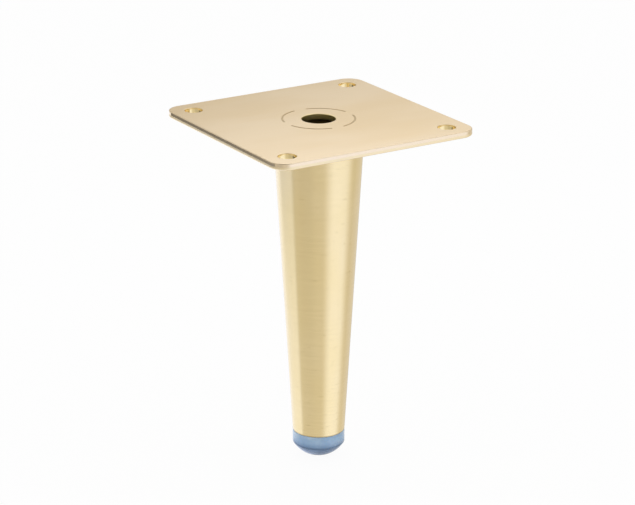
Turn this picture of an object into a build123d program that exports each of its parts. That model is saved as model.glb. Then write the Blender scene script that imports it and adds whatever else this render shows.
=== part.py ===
from build123d import *
import math
import os

# Tapered furniture leg, in millimetres.
# The origin is the centre of the plate's mounting face. +Z points out of that face,
# into the furniture, and the leg runs down along -Z.

# Mounting plate, punched from sheet
plate_side = 100.0
plate_thickness = 3.0
plate_corner_radius = 7.5
plate_top_edge_radius = 0.35
plate_bottom_edge_radius = 0.8
screw_hole_inset = 10.0
screw_hole_diameter = 8.0
centre_hole_diameter = 15.0
hole_top_radius = 0.25
hole_bottom_radius = 0.8

# Four arc seams that join the leg's turned-in flange to the plate
seam_ring_diameter = 31.8
seam_width = 0.9
seam_arc_angle = 66.0
seam_count = 4
seam_first_angle = 45.0
seam_sink = 0.15

# Tapered tube
tube_top_diameter = 40.4
tube_end_diameter = 23.6
tube_length = 143.5
tube_wall = 1.5
tube_bend_inner_radius = 0.8
flange_land = 2.4
tube_end_edge_radius = 0.2

# Foot cap, one moulding with its plug
cap_band_height = 6.0
cap_dome_height = 6.7
cap_crease_radius = 0.8
cap_joint_edge_radius = 0.3
cap_floor_thickness = 6.0
plug_length = 13.0
plug_core_diameter = 17.4
plug_wall = 1.8
spigot_height = 1.2
plug_mouth_clearance = 0.15
plug_lead_in = 0.8
fin_count = 3
fin_thickness = 1.1
fin_pitch = 3.8
fin_first_height = 3.2
fin_clearance = 0.12
fin_droop = 0.35

# Places and levels worked out from the sizes above
screw_hole_spacing = plate_side - 2 * screw_hole_inset
tube_top_z = -plate_thickness
tube_end_z = tube_top_z - tube_length
crease_z = tube_end_z - cap_band_height
foot_z = crease_z - cap_dome_height

tube_top_radius = tube_top_diameter / 2
tube_end_radius = tube_end_diameter / 2
taper_angle = math.atan((tube_top_radius - tube_end_radius) / tube_length)
radial_wall = tube_wall / math.cos(taper_angle)
seam_radius = seam_ring_diameter / 2
flange_inner_radius = seam_radius - seam_width / 2 - flange_land


def bore_radius(z):
    """Inner radius of the tapered tube at a level."""
    share = (z - tube_end_z) / tube_length
    outer = tube_end_radius + share * (tube_top_radius - tube_end_radius)
    return outer - radial_wall


def seam_outline():
    """The four arcs, centred on the plate's diagonals, as one flat sketch."""
    step = 360 / seam_count
    with BuildSketch(Plane.XY) as outline:
        for number in range(seam_count):
            middle = seam_first_angle + number * step
            arc = CenterArc((0, 0), seam_radius, middle - seam_arc_angle / 2, seam_arc_angle)
            SlotArc(arc, seam_width)
    return outline.sketch


def circles_at(part, z, radius):
    """The circular edges of one radius that lie at a level."""
    edges = part.edges().filter_by(GeomType.CIRCLE)
    return edges.filter_by(lambda e: abs(e.center().Z - z) < 0.001 and abs(e.radius - radius) < 0.001)


def make_mounting_plate():
    """Square plate with rounded corners, four screw holes, a centre hole and the seam slots."""
    hole_radius = screw_hole_diameter / 2
    centre_radius = centre_hole_diameter / 2
    with BuildPart() as plate:
        with BuildSketch(Plane.XY):
            RectangleRounded(plate_side, plate_side, plate_corner_radius)
        extrude(amount=-plate_thickness)
        fillet(plate.faces().sort_by(Axis.Z)[-1].outer_wire().edges(), plate_top_edge_radius)
        fillet(plate.faces().sort_by(Axis.Z)[0].outer_wire().edges(), plate_bottom_edge_radius)
        with BuildSketch(Plane.XY):
            with GridLocations(screw_hole_spacing, screw_hole_spacing, 2, 2):
                Circle(hole_radius)
            Circle(centre_radius)
        extrude(amount=-plate_thickness, mode=Mode.SUBTRACT)
        for radius in (hole_radius, centre_radius):
            fillet(circles_at(plate.part, 0, radius), hole_top_radius)
            fillet(circles_at(plate.part, -plate_thickness, radius), hole_bottom_radius)
        extrude(seam_outline(), amount=-plate_thickness, mode=Mode.SUBTRACT)
    return plate.part


def make_seam_welds():
    """Weld metal in the four slots, a little below the plate's face and down to the flange."""
    top = Pos(0, 0, -seam_sink) * seam_outline()
    return extrude(top, amount=-(plate_thickness - seam_sink))


def make_leg_tube():
    """Thin tapered tube whose top edge is turned in as a flat flange under the plate."""
    under_flange_z = tube_top_z - tube_wall
    flange_corner = (tube_top_radius, tube_top_z)
    bore_corner = (bore_radius(under_flange_z), under_flange_z)
    foot_corner = (tube_end_radius, tube_end_z)
    with BuildPart() as tube:
        with BuildSketch(Plane.XZ) as section:
            with BuildLine():
                Polyline(
                    (flange_inner_radius, tube_top_z),
                    flange_corner,
                    foot_corner,
                    (bore_radius(tube_end_z), tube_end_z),
                    bore_corner,
                    (flange_inner_radius, under_flange_z),
                    close=True,
                )
            make_face()
            fillet(corner_near(section, flange_corner), tube_bend_inner_radius + tube_wall)
            fillet(corner_near(section, bore_corner), tube_bend_inner_radius)
            fillet(corner_near(section, foot_corner), tube_end_edge_radius)
        revolve(axis=Axis.Z)
    return tube.part


def corner_near(section, corner):
    """The vertex of a section, drawn in radius and level, that lies nearest to a corner."""
    return section.vertices().sort_by_distance(corner)[0]


def make_foot_cap():
    """Domed glide whose finned plug holds it in the tube's end."""
    plug_top_z = tube_end_z + plug_length
    mouth_radius = bore_radius(tube_end_z) - plug_mouth_clearance
    core_radius = plug_core_diameter / 2
    cavity_radius = core_radius - plug_wall
    cavity_floor_z = foot_z + cap_floor_thickness
    cavity_corner = (cavity_radius, cavity_floor_z)
    crease_corner = (tube_end_radius, crease_z)
    joint_corner = (tube_end_radius, tube_end_z)
    with BuildPart() as cap:
        with BuildSketch(Plane.XZ) as section:
            with BuildLine():
                Polyline(
                    (0, foot_z),
                    (0, cavity_floor_z),
                    cavity_corner,
                    (cavity_radius, plug_top_z),
                    (core_radius - plug_lead_in, plug_top_z),
                    (core_radius, plug_top_z - plug_lead_in),
                    (core_radius, tube_end_z),
                    joint_corner,
                    crease_corner,
                )
                RadiusArc(crease_corner, (0, foot_z), dome_radius())
            make_face()
            fillet(corner_near(section, crease_corner), cap_crease_radius)
            fillet(corner_near(section, joint_corner), cap_joint_edge_radius)
            fillet(corner_near(section, cavity_corner), plug_wall)
        revolve(axis=Axis.Z)
        with BuildSketch(Plane.XY.offset(tube_end_z)):
            Circle(mouth_radius)
            Circle(core_radius - plug_wall / 2, mode=Mode.SUBTRACT)
        extrude(amount=spigot_height)
        for number in range(fin_count):
            add(make_plug_fin(tube_end_z + fin_first_height + number * fin_pitch, core_radius))
    return cap.part


def dome_radius():
    """Radius of the sphere that meets the band's lower edge and the foot's lowest point."""
    return (tube_end_radius ** 2 + cap_dome_height ** 2) / (2 * cap_dome_height)


def make_plug_fin(z, core_radius):
    """One springy ring on the plug, drooping outwards to the tube's bore."""
    tip_radius = bore_radius(z) - fin_clearance
    with BuildPart() as fin:
        with BuildSketch(Plane.XZ):
            with BuildLine():
                Polyline(
                    (core_radius - plug_wall / 2, z),
                    (tip_radius, z - fin_droop),
                    (tip_radius, z - fin_droop + fin_thickness / 2),
                    (core_radius - plug_wall / 2, z + fin_thickness),
                    close=True,
                )
            make_face()
        revolve(axis=Axis.Z)
    return fin.part


os.makedirs("parts", exist_ok=True)
export_step(make_mounting_plate(), "parts/mounting_plate.step")
export_step(make_leg_tube(), "parts/leg_tube.step")
export_step(make_seam_welds(), "parts/seam_welds.step")
export_step(make_foot_cap(), "parts/foot_cap.step")
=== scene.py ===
import math

import bpy
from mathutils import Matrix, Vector

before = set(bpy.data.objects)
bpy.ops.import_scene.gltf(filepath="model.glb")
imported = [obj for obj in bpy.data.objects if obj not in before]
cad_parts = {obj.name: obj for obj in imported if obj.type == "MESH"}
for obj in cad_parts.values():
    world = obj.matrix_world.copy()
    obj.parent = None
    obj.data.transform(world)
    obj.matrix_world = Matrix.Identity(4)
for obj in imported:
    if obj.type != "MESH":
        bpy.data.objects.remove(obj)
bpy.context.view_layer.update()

# The leg's own sizes in metres, as the solids have them
foot_level = -0.1592
tube_end_level = -0.1465
crease_level = -0.1525
tube_end_radius = 0.0118
tube_taper = 0.0084 / 0.1435
screw_hole_offset = 0.040
screw_hole_radius = 0.004
centre_hole_radius = 0.0075

# Where the photographer stands, seen from the leg, and the lens
camera_azimuth = math.radians(58.305)
camera_elevation = math.radians(19.651)
camera_distance = 1.0352
camera_aim_level = -0.0619
camera_aim_left = 0.0005
camera_lens_mm = 132.16
camera_sensor_mm = 36
lamp_aim_level = -0.07

# The studio is a plain grey room, and 1 is the white of its background. Each soft-edged panel
# has a middle, half width and softness in degrees right of the camera, a lower and an upper
# height in degrees, and a change of level. Only metal and see-through plastic show the room.
# The camera sees white, and matt surfaces are lit by the plain level.
room_level = 0.74
plain_level = 0.85
panels = {
    "tall_left_softbox": (-148, 23, 4, -90, 12, 0.42),
    "low_left_card": (-100, 20, 6, -90, -19, 0.46),
    "dim_left_room": (-96, 26, 5, -19, 4, -0.64),
    "tall_right_softbox": (60, 16, 34, -90, 40, 0.40),
    "pale_right_wall": (140, 16, 10, -90, 0, 0.05),
    "pale_table": (0, 180, 0, -90, -27, 0.12),
    "dim_camera_side": (0, 35, 35, 12, 80, -0.50),
    "dim_left_wall": (-38, 12, 22, -25, 4, -0.13),
    "dim_back_wall": (180, 40, 30, 0, 60, -0.10),
    "dim_back_left": (207, 24, 6, 0, 17, -0.36),
}
panel_height_softness = 2
least_side_softness = 0.1
tint_by_level = 2.5
warm_wall = (1.0, 0.97, 0.90, 1)
cool_panel = (0.95, 1.0, 1.16, 1)
white = (1, 1, 1, 1)
floor_grey = (0.85, 0.85, 0.85, 1)
floor_white_share = 0.95


class Wire:
    """A shader output that can be used in sums, so that a pattern reads as arithmetic."""

    def __init__(self, tree, socket=None):
        self.tree = tree
        self.socket = socket

    def add(self, kind, settings=None, sockets=None, output=0):
        """One node of this kind, set up and joined, as its chosen output."""
        made = self.tree.nodes.new(kind)
        for name, value in (settings or {}).items():
            setattr(made, name, value)
        for name, value in (sockets or {}).items():
            if isinstance(value, Wire):
                self.tree.links.new(value.socket, made.inputs[name])
            else:
                made.inputs[name].default_value = value
        return Wire(self.tree, made.outputs[output])

    def maths(self, operation, first, second=0.0, third=0.0):
        return self.add("ShaderNodeMath", {"operation": operation}, {0: first, 1: second, 2: third})

    def __add__(self, other):
        return self.maths("ADD", self, other)

    def __radd__(self, other):
        return self.maths("ADD", other, self)

    def __sub__(self, other):
        return self.maths("SUBTRACT", self, other)

    def __rsub__(self, other):
        return self.maths("SUBTRACT", other, self)

    def __mul__(self, other):
        return self.maths("MULTIPLY", self, other)

    def __rmul__(self, other):
        return self.maths("MULTIPLY", other, self)

    def __pow__(self, other):
        return self.maths("POWER", self, other)

    def absolute(self):
        return self.maths("ABSOLUTE", self)

    def root(self):
        return self.maths("SQRT", self)

    def larger(self, other):
        return self.maths("MAXIMUM", self, other)

    def step(self, low, high):
        """0 below low, 1 above high and a smooth rise between them."""
        return self.add(
            "ShaderNodeMapRange",
            {"interpolation_type": "SMOOTHSTEP"},
            {"Value": self, "From Min": low, "From Max": high},
        )


def new_finish(name):
    """An empty material, its start for wires and its output node."""
    material = bpy.data.materials.new(name)
    material.use_nodes = True
    tree = material.node_tree
    tree.nodes.clear()
    output = tree.nodes.new("ShaderNodeOutputMaterial")
    return material, Wire(tree), output


def three_parts(wire, vector):
    """The x, y and z of a vector."""
    split = wire.add("ShaderNodeSeparateXYZ", sockets={0: vector}).socket.node
    return tuple(Wire(wire.tree, split.outputs[k]) for k in range(3))


def place(wire):
    """The point on the piece in the leg's frame, as x, y and z in metres."""
    return three_parts(wire, wire.add("ShaderNodeTexCoord", output="Object"))


def grain(wire, x, y, z, detail, roughness):
    """Noise read at a point whose three parts are already scaled."""
    spot = wire.add("ShaderNodeCombineXYZ", sockets={0: x, 1: y, 2: z})
    return wire.add(
        "ShaderNodeTexNoise",
        {"noise_dimensions": "3D"},
        {"Vector": spot, "Scale": 1.0, "Detail": detail, "Roughness": roughness},
    )


def blend(wire, share, first, second):
    """Colour between first, at 0, and second, at 1."""
    made = wire.tree.nodes.new("ShaderNodeMix")
    made.data_type = "RGBA"
    factor, first_colour, second_colour = (made.inputs[k] for k in (0, 6, 7))
    for socket, value in ((factor, share), (first_colour, first), (second_colour, second)):
        if isinstance(value, Wire):
            wire.tree.links.new(value.socket, socket)
        else:
            socket.default_value = value
    return Wire(wire.tree, made.outputs[2])


def ridge(wire, height, strength, distance):
    """A bumped normal from a height."""
    return wire.add(
        "ShaderNodeBump",
        sockets={"Strength": strength, "Distance": distance, "Height": height},
    )


def finish_with(wire, output, shader):
    wire.tree.links.new(shader.socket, output.inputs["Surface"])


def metal(wire, colour, roughness, normal, anisotropic=0.0, turn=0.0):
    """Plated metal. Brush lines may stretch its reflections across themselves."""
    return wire.add(
        "ShaderNodeBsdfPrincipled",
        sockets={
            "Base Color": colour,
            "Metallic": 1.0,
            "Roughness": roughness,
            "Normal": normal,
            "Anisotropic": anisotropic,
            "Anisotropic Rotation": turn,
        },
    )


pale_brass = (0.86, 0.71, 0.51, 1)
warm_brass = (0.82, 0.655, 0.43, 1)
deep_brass = (0.84, 0.61, 0.24, 1)
tube_brass = (0.86, 0.69, 0.37, 1)
tube_pale_brass = (0.87, 0.71, 0.42, 1)
hole_wall_highlight_brass = (0.90, 0.73, 0.40, 1)
yellow_brass = (0.95, 0.80, 0.36, 1)
mark_brown = (0.55, 0.40, 0.17, 1)
joint_shade_brown = (0.22, 0.14, 0.06, 1)
dull_steel = (0.34, 0.25, 0.13, 1)
dark_weld = (0.38, 0.30, 0.18, 1)
pale_weld = (0.74, 0.59, 0.38, 1)
dome_blue = (0.15, 0.26, 0.45, 1)
band_lit_through_blue = (0.38, 0.57, 0.81, 1)
cloud_blue = (0.70, 0.84, 0.97, 1)
crease_shade_blue = (0.10, 0.17, 0.28, 1)
brush_depth = 0.00003
weld_grain_depth = 0.00008
hole_wall_softness = 0.0002


def brushed_plate_finish():
    """Brushed sheet, with a painted highlight that makes the hole walls brighter, and a cut edge whose
    lower half is torn and rough.
    """
    material, wire, output = new_finish("brushed_brass_plate")
    x, y, z = place(wire)
    fine = grain(wire, x * 5200, y * 70, z * 900, 4.0, 0.65)
    medium = grain(wire, x * 900, y * 22, z * 300, 3.0, 0.6)
    cloud = grain(wire, x * 28, y * 12, z * 28, 2.0, 0.5)
    across = x.absolute() - screw_hole_offset
    along = y.absolute() - screw_hole_offset
    from_screw_hole = (across**2 + along**2).root() - screw_hole_radius
    from_centre_hole = (x**2 + y**2).root() - centre_hole_radius
    screw_wall = 1 - from_screw_hole.step(0.0, hole_wall_softness)
    centre_wall = 1 - from_centre_hole.step(0.0, hole_wall_softness)
    colour = blend(wire, cloud.step(0.35, 0.65), warm_brass, pale_brass)
    colour = blend(wire, medium.step(0.2, 0.8) * 0.1, colour, deep_brass)
    # Painted highlight: the screw-hole and centre-hole walls get brighter, yellower brass in place of
    # the light caught on them.
    colour = blend(wire, screw_wall, colour, hole_wall_highlight_brass)
    colour = blend(wire, centre_wall, colour, yellow_brass)
    below_face = 1 - z.step(-0.0005, -0.0003)
    above_underside = z.step(-0.0029, -0.0027)
    lower_half = 1 - z.step(-0.0017, -0.0014)
    outer_edge = 1 - screw_wall.larger(centre_wall)
    torn = below_face * above_underside * lower_half * outer_edge
    colour = blend(wire, torn * 0.25, colour, yellow_brass)
    roughness = 0.28 + 0.04 * fine + 0.04 * medium - below_face * 0.17
    roughness = roughness + (centre_wall * 0.18 - screw_wall * 0.04) * below_face + torn * 0.3
    normal = ridge(wire, fine * 0.7 + medium * 0.3, 0.03, brush_depth)
    finish_with(wire, output, metal(wire, colour, roughness, normal))
    return material


def brushed_tube_finish():
    """Tube brushed round its axis, with a few short marks, dull plating inside and a painted shade line
    where it meets the cap.
    """
    material, wire, output = new_finish("brushed_brass_tube")
    x, y, z = place(wire)
    fine = grain(wire, x * 60, y * 60, z * 6500, 4.0, 0.65)
    medium = grain(wire, x * 35, y * 35, z * 1100, 3.0, 0.6)
    cloud = grain(wire, x * 30, y * 30, z * 16, 2.0, 0.5)
    marks = grain(wire, x * 230, y * 230, z * 2100, 1.0, 0.5).step(0.71, 0.77)
    outside_radius = tube_end_radius + (z - tube_end_level) * tube_taper
    inside = 1 - ((x**2 + y**2).root() - outside_radius).step(-0.0008, -0.0006)
    joint_shade = 1 - z.step(tube_end_level + 0.0003, tube_end_level + 0.0008)
    colour = blend(wire, cloud.step(0.35, 0.65), tube_brass, tube_pale_brass)
    colour = blend(wire, fine.step(0.4, 0.7) * 0.14 + marks * 0.45, colour, mark_brown)
    colour = blend(wire, inside, colour, dull_steel)
    # Painted shade: the foot of the tube darkens to brown where it meets the cap.
    colour = blend(wire, joint_shade * 0.4, colour, joint_shade_brown)
    roughness = 0.19 + 0.08 * fine + 0.04 * medium + 0.2 * inside
    normal = ridge(wire, fine * 0.7 + medium * 0.3 - marks * 0.6, 0.15, brush_depth)
    shader = metal(wire, colour, roughness, normal, anisotropic=0.5, turn=0.25)
    finish_with(wire, output, shader)
    return material


def weld_finish():
    """Weld metal, ground and plated over, darker and rougher than the plate."""
    material, wire, output = new_finish("ground_weld")
    x, y, z = place(wire)
    speckle = grain(wire, x * 2500, y * 2500, z * 2500, 3.0, 0.6)
    colour = blend(wire, speckle, dark_weld, pale_weld)
    normal = ridge(wire, speckle, 0.5, weld_grain_depth)
    finish_with(wire, output, metal(wire, colour, 0.42 + 0.2 * speckle, normal))
    return material


def foot_cap_finish():
    """Slightly see-through glossy blue-grey moulding. Its thin band is painted paler, as painted light
    shining through it, and its crease gets a painted shade line.
    """
    material, wire, output = new_finish("blue_grey_plastic")
    x, y, z = place(wire)
    cloud = grain(wire, x * 90 + 4, y * 90, z * 140, 3.0, 0.5)
    scuff = grain(wire, x * 900, y * 900, z * 900, 3.0, 0.6)
    band = z.step(crease_level - 0.0010, crease_level + 0.0035)
    crease_shade = 1 - (z - crease_level).absolute().step(0.0002, 0.0010)
    # Painted light: the band is painted paler blue in place of the light that shines through its thin
    # wall.
    colour = blend(wire, band, dome_blue, band_lit_through_blue)
    colour = blend(wire, cloud.step(0.42, 0.62) * band * 0.5, colour, cloud_blue)
    # Painted shade: a dark line along the crease between band and dome.
    colour = blend(wire, crease_shade * 0.6, colour, crease_shade_blue)
    shader = wire.add(
        "ShaderNodeBsdfPrincipled",
        sockets={
            "Base Color": colour,
            "Roughness": 0.14 + 0.08 * scuff,
            "Normal": ridge(wire, scuff, 0.1, brush_depth),
            "IOR": 1.5,
            "Transmission Weight": 0.15,
            "Subsurface Weight": 0.35,
            "Subsurface Radius": (0.5, 0.8, 1.0),
            "Subsurface Scale": 0.004,
        },
    )
    finish_with(wire, output, shader)
    return material


def dress(node, material):
    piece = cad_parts[node]
    piece.data.materials.clear()
    piece.data.materials.append(material)


def direction(azimuth, elevation):
    """Unit vector from the leg towards an azimuth and elevation in radians."""
    flat = math.cos(elevation)
    return Vector((math.sin(azimuth) * flat, -math.cos(azimuth) * flat, math.sin(elevation)))


def face(thing, way):
    """Turns a camera or a lamp to look along a direction and puts it in the scene."""
    thing.rotation_mode = "QUATERNION"
    thing.rotation_quaternion = way.to_track_quat("-Z", "Y")
    bpy.context.scene.collection.objects.link(thing)


def place_camera():
    """A long lens from about a metre, looking down a little on the plate."""
    back = direction(camera_azimuth, camera_elevation)
    right = Vector((math.cos(camera_azimuth), math.sin(camera_azimuth), 0))
    data = bpy.data.cameras.new("camera")
    data.sensor_width = camera_sensor_mm
    data.lens = camera_lens_mm
    data.clip_start = 0.05
    data.clip_end = 50
    camera = bpy.data.objects.new("camera", data)
    camera.location = back * camera_distance - right * camera_aim_left + Vector((0, 0, camera_aim_level))
    face(camera, -back)
    bpy.context.scene.camera = camera


def softbox(name, azimuth, elevation, distance, width, height, watts):
    """A soft rectangular lamp that faces the leg. Its angles are in degrees, right of the camera
    and above the leg."""
    data = bpy.data.lights.new(name, "AREA")
    data.shape = "RECTANGLE"
    data.size = width
    data.size_y = height
    data.energy = watts
    lamp = bpy.data.objects.new(name, data)
    out = direction(camera_azimuth + math.radians(azimuth), math.radians(elevation))
    lamp.location = Vector((0, 0, lamp_aim_level)) + out * distance
    face(lamp, -out)


def studio_world():
    """A grey room with soft panels. The camera sees it plain white, and the metal mirrors it."""
    world = bpy.data.worlds.new("studio")
    bpy.context.scene.world = world
    world.use_nodes = True
    tree = world.node_tree
    tree.nodes.clear()
    output = tree.nodes.new("ShaderNodeOutputWorld")
    wire = Wire(tree)
    x, y, z = three_parts(wire, wire.add("ShaderNodeTexCoord", output="Generated"))
    in_degrees = 180 / math.pi
    around = (wire.maths("ARCTAN2", x, y * -1) - camera_azimuth) * in_degrees
    above = wire.maths("ARCSINE", z) * in_degrees
    level = room_level
    for middle, half_width, softness, lower, upper, change in panels.values():
        away = wire.maths("WRAP", around - middle, 180.0, -180.0).absolute()
        beside = away.step(half_width, half_width + softness + least_side_softness)
        over_foot = above.step(lower - panel_height_softness, lower + panel_height_softness)
        over_head = above.step(upper - panel_height_softness, upper + panel_height_softness)
        level = level + (1 - beside) * over_foot * (1 - over_head) * change
    paths = wire.add("ShaderNodeLightPath").socket.node
    seen = Wire(tree, paths.outputs["Is Camera Ray"])
    glossy = Wire(tree, paths.outputs["Is Glossy Ray"])
    mirrored = glossy.larger(Wire(tree, paths.outputs["Is Transmission Ray"]))
    strength = plain_level + (level - plain_level) * mirrored
    strength = strength + (1 - strength) * seen
    tint = blend(wire, (level - room_level) * tint_by_level, warm_wall, cool_panel)
    tint = blend(wire, mirrored, white, tint)
    shade = wire.add("ShaderNodeBackground", sockets={"Color": tint, "Strength": strength})
    finish_with(wire, output, shade)


def pale_floor():
    """A wide white floor under the foot. From below, and to the metal, it isn't there."""
    bpy.ops.mesh.primitive_plane_add(size=12, location=(0, 0, foot_level))
    floor = bpy.context.object
    floor.name = "floor"
    bpy.ops.object.transform_apply(location=True)
    material, wire, output = new_finish("pale_floor")
    paths = wire.add("ShaderNodeLightPath").socket.node
    seen = Wire(wire.tree, paths.outputs["Is Camera Ray"])
    glossy = Wire(wire.tree, paths.outputs["Is Glossy Ray"])
    behind = wire.add("ShaderNodeNewGeometry", output="Backfacing")
    lit = wire.add("ShaderNodeBsdfDiffuse", sockets={"Color": floor_grey})
    glow = wire.add("ShaderNodeEmission", sockets={"Color": white, "Strength": 1.0})
    clear = wire.add("ShaderNodeBsdfTransparent")
    shader = wire.add("ShaderNodeMixShader", sockets={0: seen * floor_white_share, 1: lit, 2: glow})
    shader = wire.add("ShaderNodeMixShader", sockets={0: glossy.larger(behind), 1: shader, 2: clear})
    finish_with(wire, output, shader)
    floor.data.materials.append(material)


dress("mounting_plate", brushed_plate_finish())
dress("leg_tube", brushed_tube_finish())
dress("seam_welds", weld_finish())
dress("foot_cap", foot_cap_finish())

place_camera()
studio_world()
pale_floor()
softbox("back_softbox", azimuth=177, elevation=41, distance=0.45, width=0.24, height=0.14, watts=0.13)
softbox("overhead_softbox", azimuth=150, elevation=70, distance=1.1, width=0.8, height=0.8, watts=1.0)

bpy.context.scene.view_settings.view_transform = "Standard"
